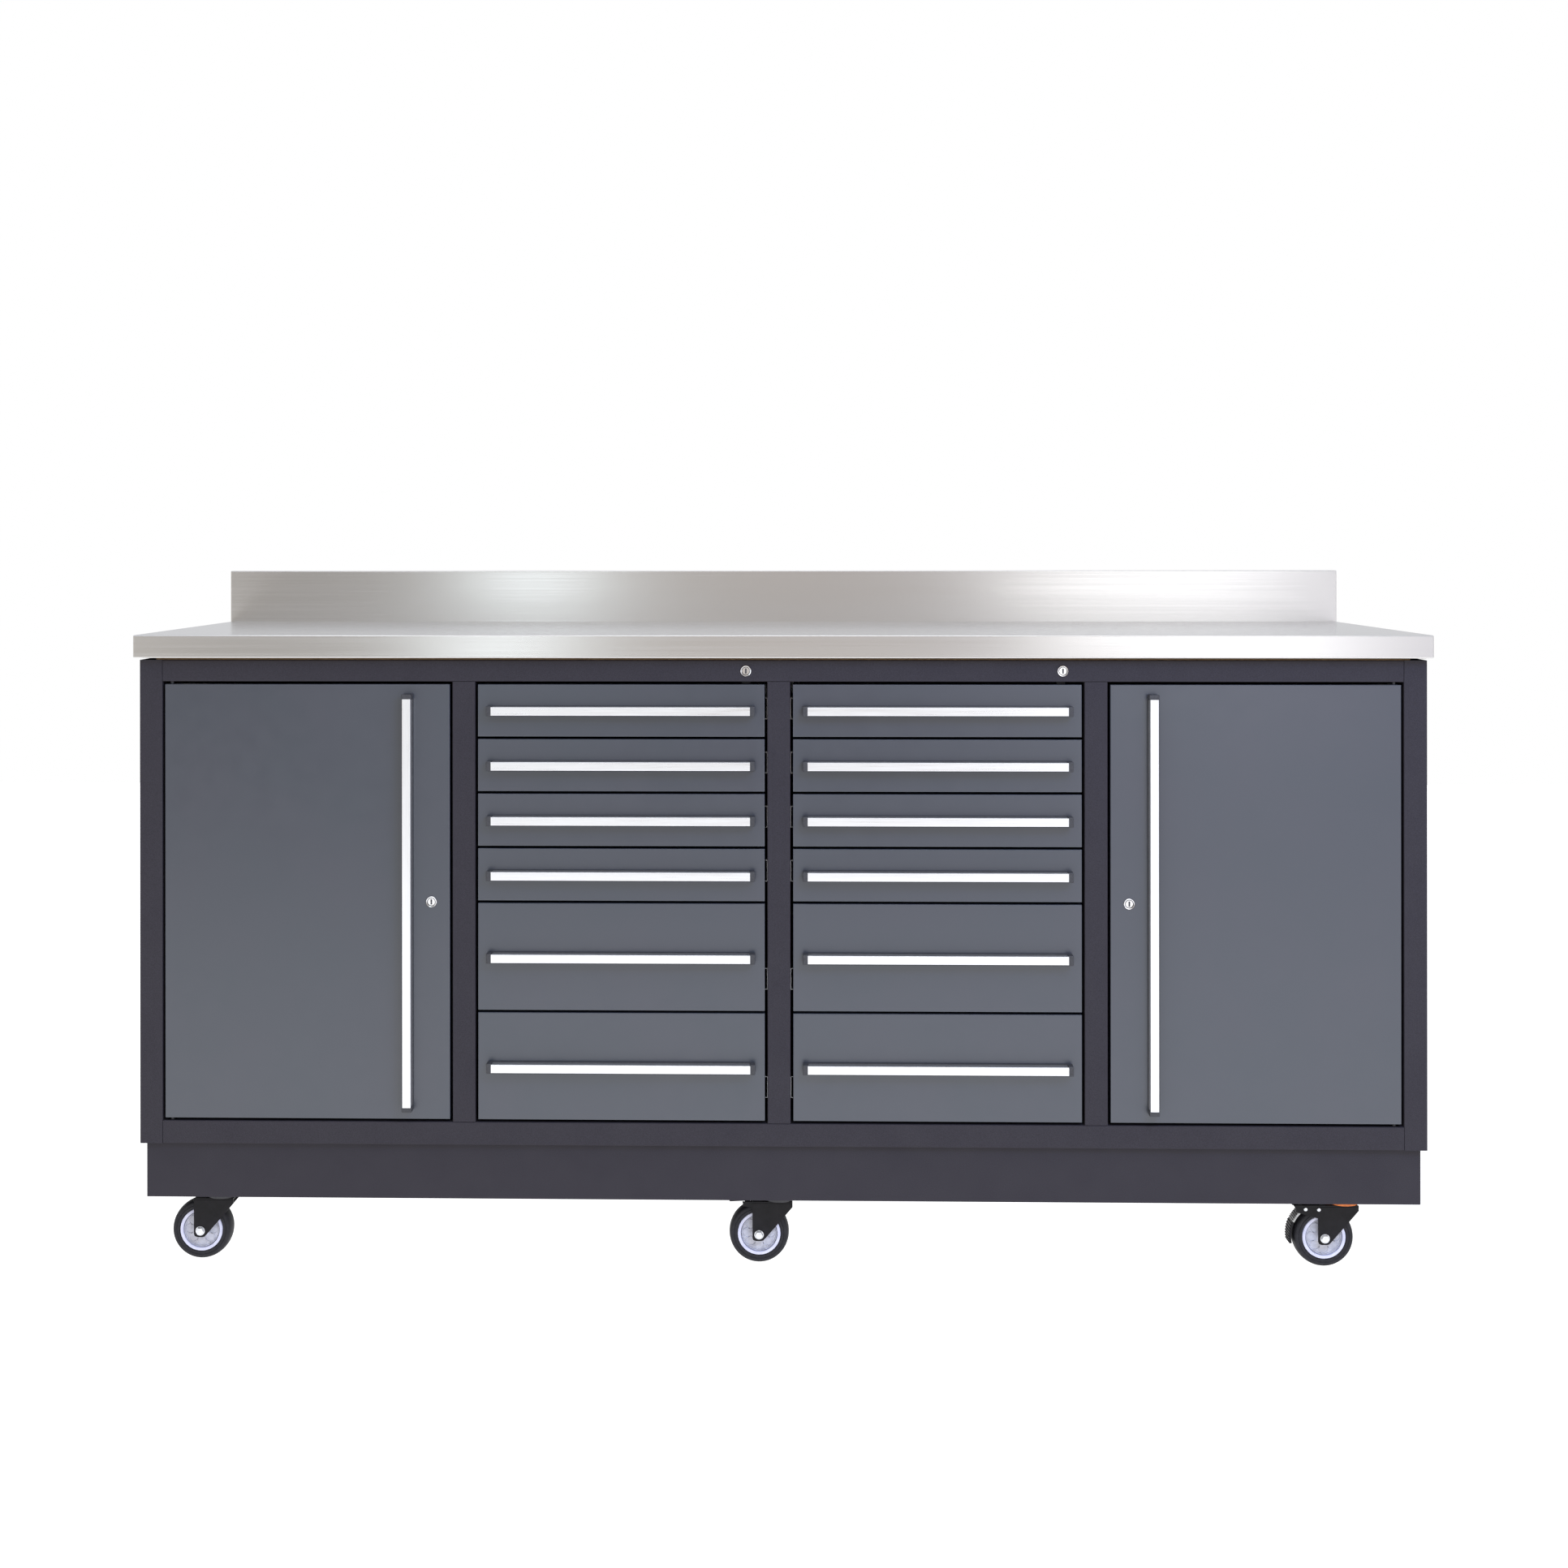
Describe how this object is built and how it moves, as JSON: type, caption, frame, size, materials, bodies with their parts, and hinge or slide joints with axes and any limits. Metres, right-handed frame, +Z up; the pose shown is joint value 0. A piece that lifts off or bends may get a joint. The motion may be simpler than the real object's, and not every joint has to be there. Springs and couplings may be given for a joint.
{
  "type": "rolling tool chest",
  "caption": "Wide rolling workbench cabinet: stainless worktop with a backsplash over two lockable cupboards and two columns of drawers, on swivel castors.",
  "frame": {"origin": "on the floor, under the middle of the worktop", "axes": "+Z up, the front faces -Y, +X along the worktop to the right of a person who faces the front"},
  "size_m": [2.13, 0.62, 1.153],
  "materials": {
    "stainless": "brushed stainless sheet with the grain along the length",
    "body_paint": "fine textured charcoal powder coat",
    "front_paint": "smooth satin slate powder coat",
    "handle_aluminium": "bright satin anodised",
    "lock_chrome": "polished",
    "board": "plain fibreboard core",
    "castor_black": "black coated pressed steel",
    "wheel_rubber": "grey-black moulded tyre on a grey hub",
    "brake_steel": "zinc plated pressed steel",
    "wheel_hub": "moulded grey plastic hub",
    "wheel_ring": "light ring between hub and tyre",
    "bolt_zinc": "bright zinc plated",
    "end_cap": "black moulded plastic",
    "seal_orange": "orange moulded seal",
    "slide_zinc": "bright zinc plated ball-bearing slide",
    "drawer_mat": "thin ribbed black drawer liner"
  },
  "bodies": {
    "cabinet": {"worktop_skin": "stainless", "worktop_board": "board", "backsplash": "stainless", "side_left": "body_paint", "side_right": "body_paint", "divider_left": "body_paint", "divider_centre": "body_paint", "divider_right": "body_paint", "top_rail": "body_paint", "floor_pan": "body_paint", "back_panel": "body_paint", "shelf_left": "body_paint", "shelf_right": "body_paint", "plinth": "body_paint"},
    "door_left": {"door_left": "front_paint", "door_handle_left": "handle_aluminium"},
    "door_lock_left": {"door_lock_left": "lock_chrome"},
    "door_right": {"door_right": "front_paint", "door_handle_right": "handle_aluminium"},
    "door_lock_right": {"door_lock_right": "lock_chrome"},
    "drawer_left_1": {"drawer_left_1": "front_paint", "drawer_handle_left_1": "handle_aluminium"},
    "drawer_right_1": {"drawer_right_1": "front_paint", "drawer_handle_right_1": "handle_aluminium"},
    "drawer_left_2": {"drawer_left_2": "front_paint", "drawer_handle_left_2": "handle_aluminium"},
    "drawer_right_2": {"drawer_right_2": "front_paint", "drawer_handle_right_2": "handle_aluminium"},
    "drawer_left_3": {"drawer_left_3": "front_paint", "drawer_handle_left_3": "handle_aluminium"},
    "drawer_right_3": {"drawer_right_3": "front_paint", "drawer_handle_right_3": "handle_aluminium"},
    "drawer_left_4": {"drawer_left_4": "front_paint", "drawer_handle_left_4": "handle_aluminium"},
    "drawer_right_4": {"drawer_right_4": "front_paint", "drawer_handle_right_4": "handle_aluminium"},
    "drawer_left_5": {"drawer_left_5": "front_paint", "drawer_handle_left_5": "handle_aluminium"},
    "drawer_right_5": {"drawer_right_5": "front_paint", "drawer_handle_right_5": "handle_aluminium"},
    "drawer_left_6": {"drawer_left_6": "front_paint", "drawer_handle_left_6": "handle_aluminium"},
    "drawer_right_6": {"drawer_right_6": "front_paint", "drawer_handle_right_6": "handle_aluminium"},
    "drawer_lock_left": {"drawer_lock_left": "lock_chrome"},
    "drawer_lock_right": {"drawer_lock_right": "lock_chrome"},
    "castor_front_left": {"castor_fork_front_left": "castor_black"},
    "wheel_front_left": {"castor_wheel_front_left": "wheel_rubber"},
    "castor_front_centre": {"castor_fork_front_centre": "castor_black"},
    "wheel_front_centre": {"castor_wheel_front_centre": "wheel_rubber"},
    "brake_front_centre": {"castor_brake_front_centre": "brake_steel"},
    "castor_front_right": {"castor_fork_front_right": "castor_black"},
    "wheel_front_right": {"castor_wheel_front_right": "wheel_rubber"},
    "brake_front_right": {"castor_brake_front_right": "brake_steel"},
    "castor_rear_left": {"castor_fork_rear_left": "castor_black"},
    "wheel_rear_left": {"castor_wheel_rear_left": "wheel_rubber"},
    "castor_rear_centre": {"castor_fork_rear_centre": "castor_black"},
    "wheel_rear_centre": {"castor_wheel_rear_centre": "wheel_rubber"},
    "castor_rear_right": {"castor_fork_rear_right": "castor_black"},
    "wheel_rear_right": {"castor_wheel_rear_right": "wheel_rubber"}
  },
  "joints": [
    {"name": "door_hinge_left", "type": "hinge", "parent": "cabinet", "child": "door_left", "pos_m": [-1.00775, -0.281, 0.6135], "axis": [0, 0, -1], "range_deg": [0, 110]},
    {"name": "door_hinge_right", "type": "hinge", "parent": "cabinet", "child": "door_right", "pos_m": [1.00775, -0.281, 0.6135], "axis": [0, 0, 1], "range_deg": [0, 110]},
    {"name": "drawer_slide_left_1", "type": "slide", "parent": "cabinet", "child": "drawer_left_1", "axis": [0, -1, 0], "range_m": [0, 0.45]},
    {"name": "drawer_slide_right_1", "type": "slide", "parent": "cabinet", "child": "drawer_right_1", "axis": [0, -1, 0], "range_m": [0, 0.45]},
    {"name": "drawer_slide_left_2", "type": "slide", "parent": "cabinet", "child": "drawer_left_2", "axis": [0, -1, 0], "range_m": [0, 0.45]},
    {"name": "drawer_slide_right_2", "type": "slide", "parent": "cabinet", "child": "drawer_right_2", "axis": [0, -1, 0], "range_m": [0, 0.45]},
    {"name": "drawer_slide_left_3", "type": "slide", "parent": "cabinet", "child": "drawer_left_3", "axis": [0, -1, 0], "range_m": [0, 0.45]},
    {"name": "drawer_slide_right_3", "type": "slide", "parent": "cabinet", "child": "drawer_right_3", "axis": [0, -1, 0], "range_m": [0, 0.45]},
    {"name": "drawer_slide_left_4", "type": "slide", "parent": "cabinet", "child": "drawer_left_4", "axis": [0, -1, 0], "range_m": [0, 0.45]},
    {"name": "drawer_slide_right_4", "type": "slide", "parent": "cabinet", "child": "drawer_right_4", "axis": [0, -1, 0], "range_m": [0, 0.45]},
    {"name": "drawer_slide_left_5", "type": "slide", "parent": "cabinet", "child": "drawer_left_5", "axis": [0, -1, 0], "range_m": [0, 0.45]},
    {"name": "drawer_slide_right_5", "type": "slide", "parent": "cabinet", "child": "drawer_right_5", "axis": [0, -1, 0], "range_m": [0, 0.45]},
    {"name": "drawer_slide_left_6", "type": "slide", "parent": "cabinet", "child": "drawer_left_6", "axis": [0, -1, 0], "range_m": [0, 0.45]},
    {"name": "drawer_slide_right_6", "type": "slide", "parent": "cabinet", "child": "drawer_right_6", "axis": [0, -1, 0], "range_m": [0, 0.45]},
    {"name": "door_lock_turn_left", "type": "hinge", "parent": "door_left", "child": "door_lock_left", "pos_m": [-0.57425, -0.29, 0.6135], "axis": [0, 1, 0], "range_deg": [0, 90]},
    {"name": "door_lock_turn_right", "type": "hinge", "parent": "door_right", "child": "door_lock_right", "pos_m": [0.57425, -0.29, 0.6135], "axis": [0, -1, 0], "range_deg": [0, 90]},
    {"name": "drawer_lock_turn_left", "type": "hinge", "parent": "cabinet", "child": "drawer_lock_left", "pos_m": [-0.05425, -0.29, 0.99525], "axis": [0, 1, 0], "range_deg": [0, 90]},
    {"name": "drawer_lock_turn_right", "type": "hinge", "parent": "cabinet", "child": "drawer_lock_right", "pos_m": [0.46625, -0.29, 0.99525], "axis": [0, 1, 0], "range_deg": [0, 90]},
    {"name": "castor_swivel_front_left", "type": "hinge", "parent": "cabinet", "child": "castor_front_left", "pos_m": [-0.94, -0.217, 0.115], "axis": [0, 0, 1], "continuous": true},
    {"name": "wheel_spin_front_left", "type": "hinge", "parent": "castor_front_left", "child": "wheel_front_left", "pos_m": [-0.974, -0.217, 0.05], "axis": [0, 1, 0], "continuous": true},
    {"name": "castor_swivel_front_centre", "type": "hinge", "parent": "cabinet", "child": "castor_front_centre", "pos_m": [0, -0.217, 0.115], "axis": [0, 0, 1], "continuous": true},
    {"name": "wheel_spin_front_centre", "type": "hinge", "parent": "castor_front_centre", "child": "wheel_front_centre", "pos_m": [-0.034, -0.217, 0.05], "axis": [0, 1, 0], "continuous": true},
    {"name": "brake_pedal_front_centre", "type": "hinge", "parent": "castor_front_centre", "child": "brake_front_centre", "pos_m": [-0.054, -0.217, 0.1055], "axis": [0, -1, 0], "range_deg": [0, 12]},
    {"name": "castor_swivel_front_right", "type": "hinge", "parent": "cabinet", "child": "castor_front_right", "pos_m": [0.94, -0.217, 0.115], "axis": [0, 0, 1], "continuous": true},
    {"name": "wheel_spin_front_right", "type": "hinge", "parent": "castor_front_right", "child": "wheel_front_right", "pos_m": [0.906, -0.217, 0.05], "axis": [0, 1, 0], "continuous": true},
    {"name": "brake_pedal_front_right", "type": "hinge", "parent": "castor_front_right", "child": "brake_front_right", "pos_m": [0.87404, -0.217, 0.104], "axis": [0, -1, 0], "range_deg": [0, 3]},
    {"name": "castor_swivel_rear_left", "type": "hinge", "parent": "cabinet", "child": "castor_rear_left", "pos_m": [-0.94, 0.227, 0.115], "axis": [0, 0, 1], "continuous": true},
    {"name": "wheel_spin_rear_left", "type": "hinge", "parent": "castor_rear_left", "child": "wheel_rear_left", "pos_m": [-0.974, 0.227, 0.05], "axis": [0, 1, 0], "continuous": true},
    {"name": "castor_swivel_rear_centre", "type": "hinge", "parent": "cabinet", "child": "castor_rear_centre", "pos_m": [0, 0.227, 0.115], "axis": [0, 0, 1], "continuous": true},
    {"name": "wheel_spin_rear_centre", "type": "hinge", "parent": "castor_rear_centre", "child": "wheel_rear_centre", "pos_m": [-0.034, 0.227, 0.05], "axis": [0, 1, 0], "continuous": true},
    {"name": "castor_swivel_rear_right", "type": "hinge", "parent": "cabinet", "child": "castor_rear_right", "pos_m": [0.94, 0.227, 0.115], "axis": [0, 0, 1], "continuous": true},
    {"name": "wheel_spin_rear_right", "type": "hinge", "parent": "castor_rear_right", "child": "wheel_rear_right", "pos_m": [0.906, 0.227, 0.05], "axis": [0, 1, 0], "continuous": true}
  ]
}
